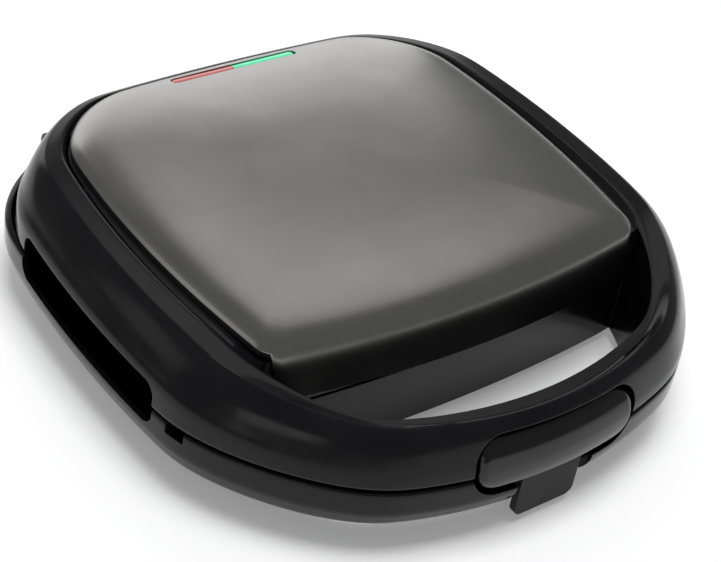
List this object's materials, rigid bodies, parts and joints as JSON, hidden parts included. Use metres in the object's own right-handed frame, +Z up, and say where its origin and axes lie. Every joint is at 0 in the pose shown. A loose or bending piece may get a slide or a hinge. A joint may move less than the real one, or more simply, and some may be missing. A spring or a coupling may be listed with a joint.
{
  "type": "sandwich toaster",
  "caption": "Countertop sandwich toaster with a hinged domed lid, a front handle loop, open side windows and a swinging front latch.",
  "frame": {"origin": "on the table, under the middle of the overall outline", "axes": "+X to the right seen from the front, +Y to the rear where the hinges are, +Z up"},
  "size_m": [0.258, 0.266, 0.076],
  "materials": {
    "black_housing": "satin",
    "lid_metal": "gloss",
    "black_pad": "satin",
    "matt_black": "matt",
    "red_lens": "gloss",
    "green_lens": "gloss",
    "nonstick": "satin",
    "steel": "satin",
    "aluminium_sheet": "satin",
    "element_steel": "oxidised",
    "ceramic": "matt",
    "rubber": "matt",
    "white_nylon": "matt",
    "lamp_glass": "gloss"
  },
  "bodies": {
    "base": {"base_housing": "black_housing", "latch_seat": "black_housing", "lower_frame": "steel", "lower_reflector": "aluminium_sheet", "lower_heating_element": "element_steel", "lower_element_clips": "steel", "lower_element_terminals": "ceramic", "lower_cooking_plate": "nonstick", "lower_plate_screws": "steel", "rubber_feet": "rubber", "base_screws": "steel", "hinge_pins": "steel", "cord_gland": "matt_black", "cable_clamp": "matt_black", "terminal_block": "white_nylon", "thermostat": "ceramic", "thermal_fuse": "steel"},
    "lid": {"lid_housing": "black_housing", "lid_plate": "lid_metal", "lid_plate_nuts": "steel", "upper_frame": "steel", "upper_reflector": "aluminium_sheet", "upper_heating_element": "element_steel", "upper_element_clips": "steel", "upper_element_terminals": "ceramic", "upper_cooking_plate": "nonstick", "upper_plate_screws": "steel", "lid_screws": "steel", "red_lens": "red_lens", "green_lens": "green_lens", "lamp_holder": "white_nylon", "indicator_lamps": "lamp_glass", "latch_pin": "steel"},
    "latch": {"latch_pad": "black_pad", "latch_lever": "matt_black"}
  },
  "joints": [
    {"name": "lid_hinge", "type": "hinge", "parent": "base", "child": "lid", "pos_m": [0, 0.1258, 0.0365], "axis": [-1, 0, 0], "range_deg": [0, 100]},
    {"name": "latch_hinge", "type": "hinge", "parent": "lid", "child": "latch", "pos_m": [0, -0.1228, 0.0461], "axis": [-1, 0, 0], "range_deg": [-4, 35]}
  ]
}
